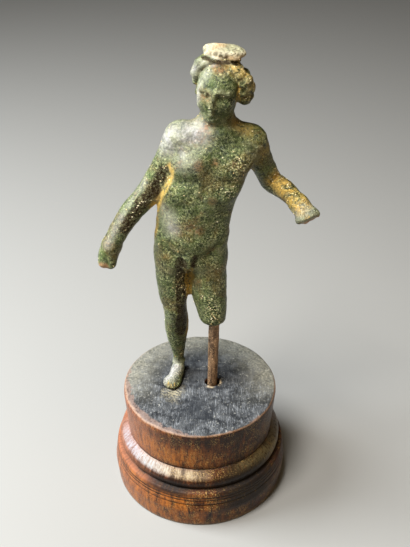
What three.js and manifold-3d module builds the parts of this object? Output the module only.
// A small cast bronze of a standing nude youth on a turned wooden plinth. The left leg is broken off
// below the knee, and an iron pin carries the stump. The things once held in the hands are lost.
// Millimetres, +Z up. The figure faces -Y, and its own left side is +X. The origin is the centre of
// the plinth's underside. Everything on the figure is placed from its sole, at z = 0 of its own frame.
import * as THREE from "three";
import Module from "manifold-3d";

const wasm = await Module();
wasm.setup();

const at = (x, y, z) => new THREE.Vector3(x, y, z);
const degrees = THREE.MathUtils.degToRad;
const clamp = THREE.MathUtils.clamp;

// Plinth and pin. The plinth's profile is read from the underside up.
const PLINTH_HEIGHT = 30.5;
const PLINTH_TOP_RADIUS = 21;
const PLINTH_SEGMENTS = 48;
const DRUM_FOOT = { height: 17.4, radius: 20.05 };
const SHOULDER = { height: 14.4, radius: 22.5, underside: 12.7 };
const GROOVE = { height: 12.3, radius: 21.7 };
const BAND = { top: 11.8, topRadius: 23.4, belly: 6, bellyRadius: 24.3, footRadius: 23.8 };
const THREAD_LINE = { height: 8.1, width: 0.5, depth: 0.35 };
const PIN_FOOT = at(3.45, 0.4, 0);
const PIN_HEAD = at(3.88, 0.72, 20.8);
const PIN_FOOT_RADIUS = 1.25;
const PIN_HEAD_RADIUS = 1.45;
const PIN_IN_PLINTH = 12;
const PIN_IN_STUMP = 6;
const PIN_CLEARANCE = 0.3;
const PIN_HOLE_RADIUS = 2.1;
const PIN_HOLE_DEPTH = 3;
const PIN_SIDES = 14;
const SOLE_GAP = 0.02;

// The skin of the figure is drawn on a lattice that is finer at the head than on the body.
const BODY_CELL = 1.6;
const HEAD_CELL = 0.84;
const HEAD_STARTS = 73;
const HEAD_FULL = 79;
const LATTICE_BOTTOM = -3.2;
const LATTICE_TOP = 97;
const CELLS_TO_EACH_SIDE = 20;
const CELLS_TO_FRONT_AND_BACK = 10;
const LATTICE_MIDDLE_AT_BODY = at(1.8, 3.2, 0);
const LATTICE_MIDDLE_AT_HEAD = at(5.4, 3.0, 0);

// The trunk leans to the figure's left as it rises. Each row is a height with the spine's x and y.
const SPINE = [
  [34, -2.4, 3.0],
  [42, -2.2, 3.0],
  [48, -1.6, 2.8],
  [54, -0.7, 2.7],
  [60, 1.0, 2.9],
  [66, 3.0, 3.4],
  [72, 4.0, 3.9],
  [80, 4.6, 4.2],
];

// Each row is a height with the trunk's half width and half depth there.
const TRUNK = [
  [34, 7.6, 4.6],
  [40, 8.7, 5.2],
  [45, 8.9, 5.2],
  [50, 9.1, 4.9],
  [55, 9.2, 4.8],
  [60, 9.5, 5.1],
  [65, 9.7, 5.5],
  [69, 9.2, 5.3],
  [72.5, 7.6, 4.4],
  [76, 4.6, 3.4],
];
const TRUNK_BOTTOM = 37;
const TRUNK_TOP = 75.5;
const TRUNK_SQUARENESS = 2.3;

// Muscles of the trunk, on both sides of the spine. y is counted from the spine, z from the sole.
const TRUNK_MUSCLES = [
  { name: "breast", centre: at(4.5, -3.0, 66.3), size: at(4.9, 2.9, 4.3), soft: 2 },
  { name: "rib edge", centre: at(4.8, -2.5, 59.2), size: at(3.8, 2.6, 3.8), soft: 2.4 },
  { name: "belly", centre: at(0, -2.9, 53.5), size: at(4.8, 2.6, 8.0), soft: 2 },
  { name: "lower belly", centre: at(0, -3.0, 45.6), size: at(5.4, 2.9, 4.6), soft: 1.8 },
  { name: "hip", centre: at(6.3, -0.6, 45.4), size: at(2.4, 3.6, 3.2), soft: 1.8 },
  { name: "buttock", centre: at(4.2, 3.4, 40.4), size: at(4.2, 4.2, 4.7), soft: 1.4 },
  { name: "shoulder blade", centre: at(5.0, 3.9, 66.3), size: at(3.3, 1.9, 4.2), soft: 1.6 },
  { name: "loin", centre: at(2.4, 3.5, 52), size: at(1.8, 1.9, 7.5), soft: 1.4 },
];
const TRUNK_FURROWS = [
  { name: "breast bone", from: at(0, -6.5, 70), to: at(0, -6.5, 61), radius: 0.7, soft: 1.6 },
  { name: "middle line", from: at(0, -6.4, 61), to: at(0, -6.3, 52), radius: 0.45, soft: 1.4 },
  { name: "navel", from: at(0, -6.6, 50.9), to: at(0, -5.4, 50.9), radius: 0.5, soft: 0.6 },
  { name: "groin", from: at(8.6, -4.2, 47), to: at(2.6, -6.1, 40.4), radius: 0.7, soft: 1.8 },
  { name: "backbone", from: at(0, 6.0, 72), to: at(0, 6.2, 45.5), radius: 0.9, soft: 2 },
  { name: "cleft", from: at(0, 8.4, 36.5), to: at(0, 7.6, 44), radius: 0.9, soft: 1.4 },
];
const THIGHS_MEET = { from: at(-2.8, 3.0, 38), to: at(-2.5, 2.9, 27.6), top: 1.5, end: 0.8, soft: 0.8 };
const LOINS = { from: at(-2.8, -2.2, 42.2), to: at(-2.8, -2.7, 39.9), top: 0.95, tip: 0.7, soft: 0.9 };
const COLLAR = { from: at(-3.4, 4.0, 71.8), to: at(11.4, 4.1, 70.9), radius: 3.2, soft: 2.2 };
const NECK = { from: at(4.0, 4.1, 71), to: at(4.5, 3.7, 80), bottom: 4.1, top: 3.5, soft: 3 };

// Limbs are chains of points, each with the limb's radius there.
const RIGHT_LEG = [
  [at(-6.6, 3.0, 40), 4.3],
  [at(-7.2, 2.7, 35), 4.0],
  [at(-6.8, 2.3, 29), 3.75],
  [at(-6.5, 2.1, 25.5), 3.2],
  [at(-6.3, 2.3, 23), 3.05],
  [at(-6.15, 3.3, 20), 3.15],
  [at(-6.15, 3.9, 17), 3.15],
  [at(-6.1, 4.1, 13), 2.6],
  [at(-5.95, 4.3, 10), 2.05],
  [at(-5.8, 4.4, 7), 1.55],
  [at(-5.8, 4.6, 4.5), 1.45],
];
const FOOT = [
  [at(-5.7, 5.6, 1.5), 1.6],
  [at(-6.0, 3.6, 2.3), 1.75],
  [at(-6.7, 1.0, 1.4), 1.85],
  [at(-7.4, -1.1, 0.9), 1.7],
];
const FOREFOOT = { centre: at(-7.65, -0.9, 0.95), size: at(2.35, 2.6, 1.3), soft: 0.8 };
const LEFT_THIGH = [
  [at(2.7, 3.0, 40), 4.4],
  [at(2.3, 2.4, 35), 4.6],
  [at(2.5, 1.7, 30), 4.6],
  [at(3.0, 1.2, 26.5), 4.15],
  [at(3.3, 0.9, 23.6), 3.75],
  [at(3.6, 0.7, 21.6), 3.1],
];
const STUMP_END = 20.8;
const RIGHT_ARM = [
  [at(-4.5, 3.9, 70.9), 3.9],
  [at(-7.0, 3.9, 66.3), 3.1],
  [at(-9.5, 3.8, 62.1), 2.75],
  [at(-13.1, 3.4, 56.1), 2.85],
  [at(-16.4, 2.5, 52.4), 2.8],
  [at(-19.1, 1.5, 48.7), 2.5],
  [at(-20.6, 1.0, 46.0), 2.4],
  [at(-21.6, 0.7, 43.9), 2.45],
];
const LEFT_ARM = [
  [at(12.4, 4.3, 69.9), 3.8],
  [at(14.3, 5.4, 65.5), 3.1],
  [at(16.3, 6.8, 61.2), 2.75],
  [at(18.0, 7.6, 57.8), 2.65],
  [at(20.8, 4.9, 57.1), 2.5],
  [at(22.6, 2.2, 56.4), 2.2],
  [at(24.0, 0.2, 55.6), 2.15],
];
const LIMB_SOFTNESS = 1.2;
const LIMB_STEPS = 4;
const LIMBS_TO_TRUNK = 2;

// The closed right fist: a block of four curled fingers, the thumb over them, and a hollow between.
const FIST = [
  { from: at(-21.7, 0.9, 43.6), to: at(-22.9, 1.1, 40.2), radius: 2.45 },
  { from: at(-23.2, 0.2, 42.2), to: at(-23.5, -0.3, 39.8), radius: 1.75 },
  { from: at(-21.6, -0.4, 42.0), to: at(-22.1, -0.7, 39.6), radius: 1.55 },
];
const FIST_FOLD = { from: at(-22.3, -2.4, 43.4), to: at(-22.9, -2.6, 39.2), radius: 0.5, soft: 0.5 };

// The left hand is lost. The wrist spreads to the palm, which ends in a rough break.
const PALM = { from: at(24.0, 0.1, 55.6), to: at(26.4, -2.5, 53.0), radius: 2.1, spread: 2.9 };
const PALM_LUMPS = [
  { name: "heel of the hand", centre: at(24.7, -1.9, 52.4), size: at(1.7, 1.5, 1.7), soft: 0.8 },
  { name: "back of the hand", centre: at(27.0, -2.4, 54.0), size: at(1.2, 1.2, 1.6), soft: 0.7 },
];
const PALM_BREAK = { through: at(26.6, -2.6, 52.7), facing: at(0.42, -0.52, -0.74), soft: 1.2 };

// The head, in a frame of its own: x to its left, y to the back, z to the crown, 0 between the eyes.
const HEAD_CENTRE = at(4.35, 2.6, 83.4);
const HEAD_TURN = -14;
const HEAD_LEAN = 6;
const HEAD_NOD = 4;
const SKULL = [
  { name: "skull", centre: at(0, 1.0, 1.5), size: at(5.0, 5.3, 5.2), soft: 1 },
  { name: "face", centre: at(0, -0.9, -1.6), size: at(4.2, 4.1, 5.1), soft: 1.6 },
  { name: "chin", centre: at(0, -3.0, -5.5), size: at(1.7, 1.4, 1.1), soft: 1.4 },
  { name: "cheek", centre: at(2.3, -2.9, -1.9), size: at(1.5, 1.2, 1.6), soft: 1.2 },
  { name: "brow", centre: at(1.9, -3.6, 1.3), size: at(1.9, 1.0, 0.7), soft: 0.9 },
];
const NOSE = { from: at(0, -4.6, 1.0), to: at(0, -5.6, -1.8), top: 0.5, tip: 0.75, soft: 0.8 };
const LIPS = { from: at(-0.7, -4.55, -3.5), to: at(0.7, -4.55, -3.5), radius: 0.6, soft: 1.0 };
const EYE_HOLLOW = { centre: at(1.8, -5.1, 0.1), size: at(1.3, 1.2, 0.75), soft: 0.8 };
const EYEBALL = { centre: at(1.8, -3.7, 0.0), size: at(0.9, 0.75, 0.5), soft: 0.3 };
const EAR = { centre: at(4.6, 0.6, -0.6), size: at(0.7, 0.9, 1.5), soft: 0.4 };

// Hair: a cap combed back in locks, thick rolls at both sides and the nape, and a flat knot on top.
const HAIR_CAP = { centre: at(0, 1.0, 1.7), size: at(5.4, 5.9, 5.6) };
const HAIR_CROWN = { centre: at(-0.4, 1.1, 5.4), size: at(5.1, 3.0, 2.1), soft: 1 };
const HAIRLINE = { height: 6.4, depth: -1.0, slope: 1.6, soft: 0.7 };
const LOCKS = { count: 11, height: 0.17, wave: 0.3 };
const ROLLS = [
  { name: "right parting", from: at(-1.0, -0.4, 6.9), to: at(-4.3, -0.2, 5.3), start: 0.7, end: 1.35 },
  { name: "right temple", from: at(-4.3, -0.2, 5.3), to: at(-5.1, -0.5, 3.2), start: 1.35, end: 1.15 },
  { name: "right temple end", from: at(-5.1, -0.5, 3.2), to: at(-5.1, -0.5, 1.3), start: 1.15, end: 0.75 },
  { name: "over the right ear", from: at(-5.0, 0.4, 4.0), to: at(-5.3, 1.4, 2.4), start: 1.3, end: 1.5 },
  { name: "right side", from: at(-5.2, 1.4, 2.6), to: at(-4.3, 4.2, -0.6), start: 1.5, end: 1.6 },
  { name: "left parting", from: at(-1.0, -0.4, 6.9), to: at(3.8, -0.8, 5.5), start: 0.7, end: 0.85 },
  { name: "nape", from: at(-3.2, 4.9, -2.0), to: at(3.6, 4.9, -2.0), start: 1.7, end: 1.7 },
];
const BUNCH = [
  { centre: at(4.6, -0.6, 4.5), size: at(1.2, 1.2, 1.3) },
  { centre: at(5.8, 0.1, 3.1), size: at(1.8, 1.9, 1.6) },
  { centre: at(6.2, 0.9, 1.4), size: at(2.0, 2.2, 1.7) },
  { centre: at(5.7, 0.2, 0.5), size: at(1.4, 1.4, 1.5) },
  { centre: at(6.0, 1.5, -0.8), size: at(1.9, 2.2, 2.1) },
  { centre: at(4.6, 3.0, 2.2), size: at(2.1, 2.2, 2.4) },
];
const TOPKNOT = { centre: at(0.2, 2.0, 8.3), size: at(4.85, 2.6, 2.0), halfHeight: 1.15, tilt: 3 };
const KNOT_DROOP = { centre: at(2.6, -1.35, -0.7), size: at(1.4, 1.2, 0.8) };
const KNOT_STALK = { centre: at(0.2, 1.8, 7.0), size: at(4.0, 2.4, 1.0) };
const KNOT_FOLDS = [at(-1.6, -2.45, 0), at(1.1, -2.55, 0), at(-2.0, 2.4, 0), at(2.6, 2.2, 0)];

// Distances are negative inside the metal. blend joins two shapes with a soft fillet.
function blend(a, b, softness) {
  const near = Math.max(softness - Math.abs(a - b), 0) / softness;
  return Math.min(a, b) - (near * near * softness) / 4;
}

function carve(body, cutter, softness) {
  return -blend(-body, cutter, softness);
}

// A rod with round ends whose radius changes from one end to the other.
function taper(p, from, to, radiusFrom, radiusTo) {
  const along = to.clone().sub(from);
  const t = clamp(p.clone().sub(from).dot(along) / along.lengthSq(), 0, 1);
  return p.distanceTo(from.clone().addScaledVector(along, t)) - radiusFrom - (radiusTo - radiusFrom) * t;
}

function egg(p, centre, size) {
  const scaled = p.clone().sub(centre).divide(size);
  const reach = scaled.length();
  const steepness = scaled.divide(size).length();
  return steepness < 1e-9 ? -Math.min(size.x, size.y, size.z) : ((reach - 1) * reach) / steepness;
}

// Reads a table whose first column is a height, with a smooth curve through its rows.
function readAt(table, height, column) {
  const last = table.length - 1;
  const h = clamp(height, table[0][0], table[last][0]);
  let i = 0;
  while (i < last - 1 && h > table[i + 1][0]) i++;
  const slope = (k) => {
    const lo = table[Math.max(k - 1, 0)];
    const hi = table[Math.min(k + 1, last)];
    return (hi[column] - lo[column]) / (hi[0] - lo[0]);
  };
  const step = table[i + 1][0] - table[i][0];
  const t = (h - table[i][0]) / step;
  const rise = table[i + 1][column] - table[i][column];
  const early = t * (1 - t) * (1 - t) * step * slope(i);
  const late = t * t * (t - 1) * step * slope(i + 1);
  return table[i][column] + rise * t * t * (3 - 2 * t) + early + late;
}

// Rounds a limb's corners: a smooth curve through its points, with the radius running along it.
function smoothLimb(points) {
  const course = new THREE.CatmullRomCurve3(points.map(([place]) => place), false, "centripetal");
  const thickness = points.map(([, radius], i) => [i, radius]);
  const steps = (points.length - 1) * LIMB_STEPS;
  const rounded = [];
  for (let i = 0; i <= steps; i++) {
    rounded.push([course.getPoint(i / steps), readAt(thickness, i / LIMB_STEPS, 1)]);
  }
  return rounded;
}

function chain(p, points) {
  let d = Infinity;
  for (let i = 0; i < points.length - 1; i++) {
    const [a, ra] = points[i];
    const [b, rb] = points[i + 1];
    d = Math.min(d, taper(p, a, b, ra, rb));
  }
  return d;
}

function trunk(p) {
  const u = Math.abs(p.x - readAt(SPINE, p.z, 1));
  const v = p.y - readAt(SPINE, p.z, 2);
  const halfWidth = readAt(TRUNK, p.z, 1);
  const halfDepth = readAt(TRUNK, p.z, 2);
  const n = TRUNK_SQUARENESS;
  const reach = Math.pow(Math.pow(u / halfWidth, n) + Math.pow(Math.abs(v) / halfDepth, n), 1 / n);
  const across = Math.pow(u / halfWidth / reach, n - 1) / halfWidth;
  const deep = Math.pow(Math.abs(v) / halfDepth / reach, n - 1) / halfDepth;
  let d = reach < 1e-6 ? -halfDepth : (reach - 1) / Math.hypot(across, deep);
  d = carve(d, p.z - TRUNK_BOTTOM, 3);
  d = carve(d, TRUNK_TOP - p.z, 3);
  const q = at(u, v, p.z);
  for (const m of TRUNK_MUSCLES) d = blend(d, egg(q, m.centre, m.size), m.soft);
  for (const f of TRUNK_FURROWS) d = carve(d, taper(q, f.from, f.to, f.radius, f.radius), f.soft);
  d = blend(d, taper(p, COLLAR.from, COLLAR.to, COLLAR.radius, COLLAR.radius), COLLAR.soft);
  return d;
}

const rightLeg = smoothLimb(RIGHT_LEG);
const foot = smoothLimb(FOOT);
const leftThigh = smoothLimb(LEFT_THIGH);
const rightArm = smoothLimb(RIGHT_ARM);
const leftArm = smoothLimb(LEFT_ARM);

const headTurn = new THREE.Quaternion().setFromEuler(
  new THREE.Euler(degrees(HEAD_NOD), degrees(HEAD_LEAN), degrees(HEAD_TURN), "ZYX"),
);
const toHead = headTurn.clone().invert();

function face(q, sides) {
  let d = Infinity;
  for (const part of SKULL) {
    const piece = egg(sides, part.centre, part.size);
    d = d === Infinity ? piece : blend(d, piece, part.soft);
  }
  d = carve(d, egg(sides, EYE_HOLLOW.centre, EYE_HOLLOW.size), EYE_HOLLOW.soft);
  d = blend(d, egg(sides, EYEBALL.centre, EYEBALL.size), EYEBALL.soft);
  d = blend(d, taper(q, NOSE.from, NOSE.to, NOSE.top, NOSE.tip), NOSE.soft);
  d = blend(d, taper(q, LIPS.from, LIPS.to, LIPS.radius, LIPS.radius), LIPS.soft);
  return blend(d, egg(sides, EAR.centre, EAR.size), EAR.soft);
}

function hair(q) {
  const fromCrown = Math.hypot(q.x, q.y - 1);
  const around = Math.atan2(q.x, q.y - 1) * LOCKS.count;
  const locks = LOCKS.height * Math.cos(around + LOCKS.wave * fromCrown) * clamp((fromCrown - 1.6) / 3, 0, 1);
  const crown = egg(q, HAIR_CROWN.centre, HAIR_CROWN.size);
  let d = blend(egg(q, HAIR_CAP.centre, HAIR_CAP.size), crown, HAIR_CROWN.soft) - locks;
  const line = q.z - HAIRLINE.height + (q.y - HAIRLINE.depth) * HAIRLINE.slope;
  d = carve(d, line / Math.hypot(1, HAIRLINE.slope), HAIRLINE.soft);
  for (const r of ROLLS) d = blend(d, taper(q, r.from, r.to, r.start, r.end) - locks * 0.6, 0.6);
  for (const b of BUNCH) d = blend(d, egg(q, b.centre, b.size) - locks * 0.3, 0.5);
  return d;
}

// The knot is a flat bun of folded hair that sits on the crown, with a line under it.
function topknot(q) {
  const r = q.clone().sub(TOPKNOT.centre).applyAxisAngle(at(0, 1, 0), degrees(TOPKNOT.tilt));
  let bun = egg(r, at(0, 0, 0), TOPKNOT.size);
  bun = -blend(-bun, TOPKNOT.halfHeight - Math.abs(r.z), 1);
  for (const f of KNOT_FOLDS) bun = carve(bun, taper(r, at(f.x, f.y, -1.7), at(f.x, f.y, 0.6), 0.4, 0.1), 0.7);
  bun = blend(bun, egg(r, KNOT_DROOP.centre, KNOT_DROOP.size), 0.5);
  return blend(bun, egg(q, KNOT_STALK.centre, KNOT_STALK.size), 0.3);
}

function head(p) {
  const q = p.clone().sub(HEAD_CENTRE).applyQuaternion(toHead);
  const sides = at(Math.abs(q.x), q.y, q.z);
  return blend(blend(face(q, sides), hair(q), 0.4), topknot(q), 0.4);
}

function hands(p) {
  let fist = Infinity;
  for (const f of FIST) {
    const piece = taper(p, f.from, f.to, f.radius, f.radius);
    fist = fist === Infinity ? piece : blend(fist, piece, 0.5);
  }
  fist = carve(fist, taper(p, FIST_FOLD.from, FIST_FOLD.to, FIST_FOLD.radius, FIST_FOLD.radius), FIST_FOLD.soft);
  const out = p.clone().sub(PALM_BREAK.through).dot(PALM_BREAK.facing);
  let whole = taper(p, PALM.from, PALM.to, PALM.radius, PALM.spread);
  for (const lump of PALM_LUMPS) whole = blend(whole, egg(p, lump.centre, lump.size), lump.soft);
  const palm = carve(whole, -out, PALM_BREAK.soft);
  return [fist, palm];
}

// The whole bronze. Head and hands are worked out only where they can matter.
function figure(p) {
  if (p.z > 82) return head(p);
  let d = trunk(p);
  const neck = taper(p, NECK.from, NECK.to, NECK.bottom, NECK.top);
  d = blend(d, neck, NECK.soft);
  const wholeFoot = blend(chain(p, foot), egg(p, FOREFOOT.centre, FOREFOOT.size), FOREFOOT.soft);
  const leg = blend(chain(p, rightLeg), wholeFoot, LIMB_SOFTNESS);
  const thigh = carve(chain(p, leftThigh), p.z - STUMP_END, 0.8);
  const web = taper(p, THIGHS_MEET.from, THIGHS_MEET.to, THIGHS_MEET.top, THIGHS_MEET.end);
  const legs = blend(blend(leg, thigh, 0.6), web, THIGHS_MEET.soft);
  d = blend(d, legs, LIMBS_TO_TRUNK);
  d = blend(d, taper(p, LOINS.from, LOINS.to, LOINS.top, LOINS.tip), LOINS.soft);
  const [fist, palm] = hands(p);
  d = blend(d, blend(chain(p, rightArm), fist, 0.8), LIMBS_TO_TRUNK);
  d = blend(d, blend(chain(p, leftArm), palm, 1.4), LIMBS_TO_TRUNK);
  return p.z > 70 ? blend(d, head(p), 1.2) : d;
}

// Heights of the lattice's layers: wide steps on the body that tighten at the neck.
function layerHeights() {
  const heights = [];
  let z = LATTICE_BOTTOM;
  while (z < LATTICE_TOP) {
    heights.push(z);
    z += cellAt(z);
  }
  return heights;
}

function cellAt(z) {
  const t = THREE.MathUtils.smoothstep(z, HEAD_STARTS, HEAD_FULL);
  return THREE.MathUtils.lerp(BODY_CELL, HEAD_CELL, t);
}

const STEPS = [
  [1, 0, 0],
  [0, 1, 0],
  [0, 0, 1],
];

// Where a lattice face has metal at two opposite corners only, the skin would pinch itself on an edge.
// One of the empty corners is filled with metal there. Says whether any corner was filled.
function fillPinches(values, size, index) {
  let filled = false;
  for (let k = 0; k < size[2] - 1; k++) {
    for (let j = 0; j < size[1] - 1; j++) {
      for (let i = 0; i < size[0] - 1; i++) {
        for (let axis = 0; axis < 3; axis++) {
          const [d, e, f] = STEPS[(axis + 1) % 3];
          const [g, h, l] = STEPS[(axis + 2) % 3];
          const ring = [
            index(i, j, k),
            index(i + d, j + e, k + f),
            index(i + d + g, j + e + h, k + f + l),
            index(i + g, j + h, k + l),
          ];
          const inside = ring.map((corner) => values[corner] < 0);
          if (inside[0] !== inside[2] || inside[1] !== inside[3] || inside[0] === inside[1]) continue;
          const empty = inside[0] ? [ring[1], ring[3]] : [ring[0], ring[2]];
          const nearest = values[empty[0]] < values[empty[1]] ? empty[0] : empty[1];
          values[nearest] = -0.05;
          filled = true;
        }
      }
    }
  }
  return filled;
}

// Wraps the zero surface of a distance with one point per crossed cell and one quad per crossed edge.
function skin(distance) {
  const heights = layerHeights();
  const size = [2 * CELLS_TO_EACH_SIDE + 1, 2 * CELLS_TO_FRONT_AND_BACK + 1, heights.length];
  const index = (i, j, k) => i + size[0] * (j + size[1] * k);
  const nodes = [];
  const values = [];
  for (let k = 0; k < size[2]; k++) {
    const t = THREE.MathUtils.smoothstep(heights[k], HEAD_STARTS, HEAD_FULL);
    const middle = LATTICE_MIDDLE_AT_BODY.clone().lerp(LATTICE_MIDDLE_AT_HEAD, t);
    const cell = cellAt(heights[k]);
    for (let j = 0; j < size[1]; j++) {
      for (let i = 0; i < size[0]; i++) {
        const x = middle.x + (i - CELLS_TO_EACH_SIDE) * cell;
        const y = middle.y + (j - CELLS_TO_FRONT_AND_BACK) * cell;
        nodes.push(at(x, y, heights[k]));
        values.push(distance(nodes[nodes.length - 1]));
      }
    }
  }
  while (fillPinches(values, size, index)) {}
  const points = [];
  const pointOf = new Map();
  const triangles = [];
  for (let k = 0; k < size[2] - 1; k++) {
    for (let j = 0; j < size[1] - 1; j++) {
      for (let i = 0; i < size[0] - 1; i++) {
        const point = crossing(nodes, values, index, i, j, k);
        if (!point) continue;
        settle(point, distance);
        settle(point, distance);
        pointOf.set(index(i, j, k), points.length / 3);
        points.push(point.x, point.y, point.z);
      }
    }
  }
  for (let k = 1; k < size[2] - 1; k++) {
    for (let j = 1; j < size[1] - 1; j++) {
      for (let i = 1; i < size[0] - 1; i++) {
        for (let axis = 0; axis < 3; axis++) {
          const here = values[index(i, j, k)] < 0;
          const [a, b, c] = STEPS[axis];
          if (here === values[index(i + a, j + b, k + c)] < 0) continue;
          const [d, e, f] = STEPS[(axis + 1) % 3];
          const [g, h, l] = STEPS[(axis + 2) % 3];
          const ring = [
            pointOf.get(index(i, j, k)),
            pointOf.get(index(i - d, j - e, k - f)),
            pointOf.get(index(i - d - g, j - e - h, k - f - l)),
            pointOf.get(index(i - g, j - h, k - l)),
          ];
          if (!here) ring.reverse();
          addQuad(triangles, points, ring);
        }
      }
    }
  }
  return { points, triangles };
}

// The mean of the places where the cell's twelve edges cross the surface.
function crossing(nodes, values, index, i, j, k) {
  const corners = [];
  for (let c = 0; c < 8; c++) corners.push(index(i + (c & 1), j + ((c >> 1) & 1), k + (c >> 2)));
  const mean = at(0, 0, 0);
  let count = 0;
  for (let c = 0; c < 8; c++) {
    for (const bit of [1, 2, 4]) {
      if (c & bit) continue;
      const a = values[corners[c]];
      const b = values[corners[c | bit]];
      if (a < 0 === b < 0) continue;
      mean.add(nodes[corners[c]].clone().lerp(nodes[corners[c | bit]], a / (a - b)));
      count++;
    }
  }
  return count ? mean.divideScalar(count) : null;
}

// Moves a point of the net towards the true surface, by a fraction of a cell at a time.
function settle(point, distance) {
  const e = 0.05;
  const d = distance(point);
  const slope = at(
    distance(at(point.x + e, point.y, point.z)) - d,
    distance(at(point.x, point.y + e, point.z)) - d,
    distance(at(point.x, point.y, point.z + e)) - d,
  ).divideScalar(e);
  const reach = clamp(-d / Math.max(slope.lengthSq(), 0.2), -0.3, 0.3);
  point.addScaledVector(slope, reach);
}

// Splits a quad along its shorter diagonal, which keeps folds and ridges crisp.
function addQuad(triangles, points, [a, b, c, d]) {
  const gap = (m, n) => Math.hypot(...[0, 1, 2].map((s) => points[3 * m + s] - points[3 * n + s]));
  if (gap(a, c) < gap(b, d)) triangles.push(a, b, c, a, c, d);
  else triangles.push(b, c, d, b, d, a);
}

function solid(points, triangles) {
  const vertProperties = Float32Array.from(points);
  const triVerts = Uint32Array.from(triangles);
  return new wasm.Manifold(new wasm.Mesh({ numProp: 3, vertProperties, triVerts }));
}

// Turns a three.js shape into a solid for joining and cutting.
function asSolid(geometry) {
  const seen = new Map();
  const points = [];
  const renumber = [];
  const place = geometry.getAttribute("position");
  for (let i = 0; i < place.count; i++) {
    const xyz = [place.getX(i), place.getY(i), place.getZ(i)];
    const key = xyz.map((value) => Math.round(value * 1e4)).join();
    if (!seen.has(key)) {
      seen.set(key, points.length / 3);
      points.push(...xyz);
    }
    renumber.push(seen.get(key));
  }
  const order = geometry.getIndex();
  const triangles = [];
  for (let t = 0; t < order.count; t += 3) {
    const corners = [0, 1, 2].map((s) => renumber[order.getX(t + s)]);
    if (new Set(corners).size === 3) triangles.push(...corners);
  }
  return solid(points, triangles);
}

function asGeometry(body) {
  const mesh = body.getMesh();
  const points = [];
  for (let i = 0; i < mesh.numVert; i++) {
    for (let s = 0; s < 3; s++) points.push(mesh.vertProperties[mesh.numProp * i + s]);
  }
  const geometry = new THREE.BufferGeometry();
  geometry.setAttribute("position", new THREE.Float32BufferAttribute(points, 3));
  geometry.setIndex(Array.from(mesh.triVerts));
  geometry.computeVertexNormals();
  return geometry;
}

// A straight round bar between two points, in figure heights.
function bar(from, to, radiusFrom, radiusTo, sides) {
  const geometry = new THREE.CylinderGeometry(radiusTo, radiusFrom, from.distanceTo(to), sides);
  const turn = new THREE.Quaternion().setFromUnitVectors(at(0, 1, 0), to.clone().sub(from).normalize());
  geometry.applyQuaternion(turn);
  const middle = from.clone().lerp(to, 0.5);
  geometry.translate(middle.x, middle.y, middle.z);
  return geometry;
}

const pinAxis = PIN_HEAD.clone().sub(PIN_FOOT).normalize();
const pinBottom = PIN_FOOT.clone().addScaledVector(pinAxis, -PIN_IN_PLINTH);
const pinTop = PIN_HEAD.clone().addScaledVector(pinAxis, PIN_IN_STUMP);

function pin(extra, past) {
  const from = pinBottom.clone().addScaledVector(pinAxis, -past);
  const to = pinTop.clone().addScaledVector(pinAxis, past);
  return bar(from, to, PIN_FOOT_RADIUS + extra, PIN_HEAD_RADIUS + extra, PIN_SIDES);
}

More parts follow.
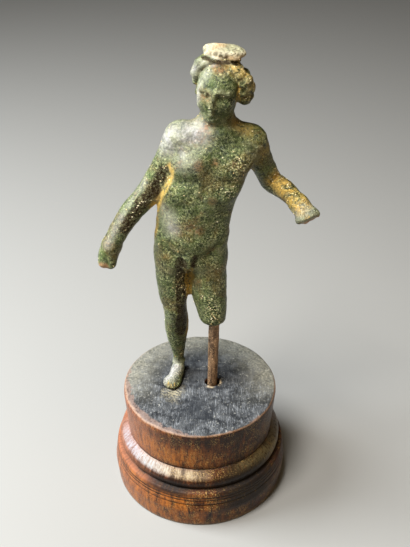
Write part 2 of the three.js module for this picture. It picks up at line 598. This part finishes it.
// The plinth as the lathe leaves it: drum, spreading shoulder, groove, and a full foot with one line.
function plinthProfile() {
  const outline = [
    [0, 0],
    [BAND.footRadius - 0.5, 0],
    [BAND.footRadius, 0.5],
    [(BAND.footRadius + BAND.bellyRadius) / 2 + 0.1, 2.8],
    [BAND.bellyRadius, BAND.belly],
  ];
  const line = threadLineRadius();
  outline.push([line, THREAD_LINE.height - THREAD_LINE.width / 2]);
  outline.push([line - THREAD_LINE.depth, THREAD_LINE.height]);
  outline.push([line, THREAD_LINE.height + THREAD_LINE.width / 2]);
  outline.push([BAND.topRadius + 0.3, BAND.top - 1.2]);
  outline.push([BAND.topRadius - 0.2, BAND.top]);
  outline.push([GROOVE.radius, GROOVE.height]);
  outline.push([SHOULDER.radius - 0.3, SHOULDER.underside]);
  outline.push([SHOULDER.radius, SHOULDER.height]);
  const climb = DRUM_FOOT.height - SHOULDER.height;
  for (let i = 1; i <= 3; i++) {
    const t = i / 4;
    const inward = Math.sin((t * Math.PI) / 2);
    const radius = THREE.MathUtils.lerp(SHOULDER.radius, DRUM_FOOT.radius, inward);
    outline.push([radius, SHOULDER.height + climb * t]);
  }
  outline.push([DRUM_FOOT.radius, DRUM_FOOT.height]);
  outline.push([PLINTH_TOP_RADIUS, PLINTH_HEIGHT - 0.6]);
  outline.push([PLINTH_TOP_RADIUS - 0.5, PLINTH_HEIGHT]);
  outline.push([0, PLINTH_HEIGHT]);
  return outline.map(([radius, height]) => new THREE.Vector2(radius, height));
}

function threadLineRadius() {
  const t = (THREAD_LINE.height - BAND.belly) / (BAND.top - BAND.belly);
  return THREE.MathUtils.lerp(BAND.bellyRadius, BAND.topRadius + 0.3, t);
}

function turnedPlinth() {
  const turned = new THREE.LatheGeometry(plinthProfile(), PLINTH_SEGMENTS).rotateX(Math.PI / 2);
  const pinHole = pin(PIN_CLEARANCE, 0.3).translate(0, 0, PLINTH_HEIGHT);
  const mouthBottom = PIN_FOOT.clone().addScaledVector(pinAxis, -PIN_HOLE_DEPTH);
  const mouthTop = PIN_FOOT.clone().addScaledVector(pinAxis, 2);
  const mouth = bar(mouthBottom, mouthTop, PIN_HOLE_RADIUS, PIN_HOLE_RADIUS, PIN_SIDES);
  mouth.translate(0, 0, PLINTH_HEIGHT);
  return asSolid(turned).subtract(asSolid(pinHole).add(asSolid(mouth)));
}

function bronzeFigure() {
  const { points, triangles } = skin(figure);
  const ground = new THREE.BoxGeometry(80, 80, 10).translate(0, 0, SOLE_GAP - 5);
  return solid(points, triangles).subtract(asSolid(ground)).subtract(asSolid(pin(PIN_CLEARANCE, 0.3)));
}

function named(name, geometry, colour, roughness, metalness) {
  const material = new THREE.MeshStandardMaterial({ color: colour, roughness, metalness });
  const mesh = new THREE.Mesh(geometry, material);
  mesh.name = name;
  return mesh;
}

const bronze = asGeometry(bronzeFigure()).translate(0, 0, PLINTH_HEIGHT);
const iron = pin(0, 0).translate(0, 0, PLINTH_HEIGHT);
const wood = asGeometry(turnedPlinth());

const figurine = new THREE.Group();
figurine.name = "bronze_figurine";
figurine.add(named("bronze_figure", bronze, 0x46523f, 0.5, 0.7));
figurine.add(named("mounting_pin", iron, 0x5b4438, 0.7, 0.6));
figurine.add(named("turned_plinth", wood, 0x5a2e20, 0.45, 0));

export default figurine;
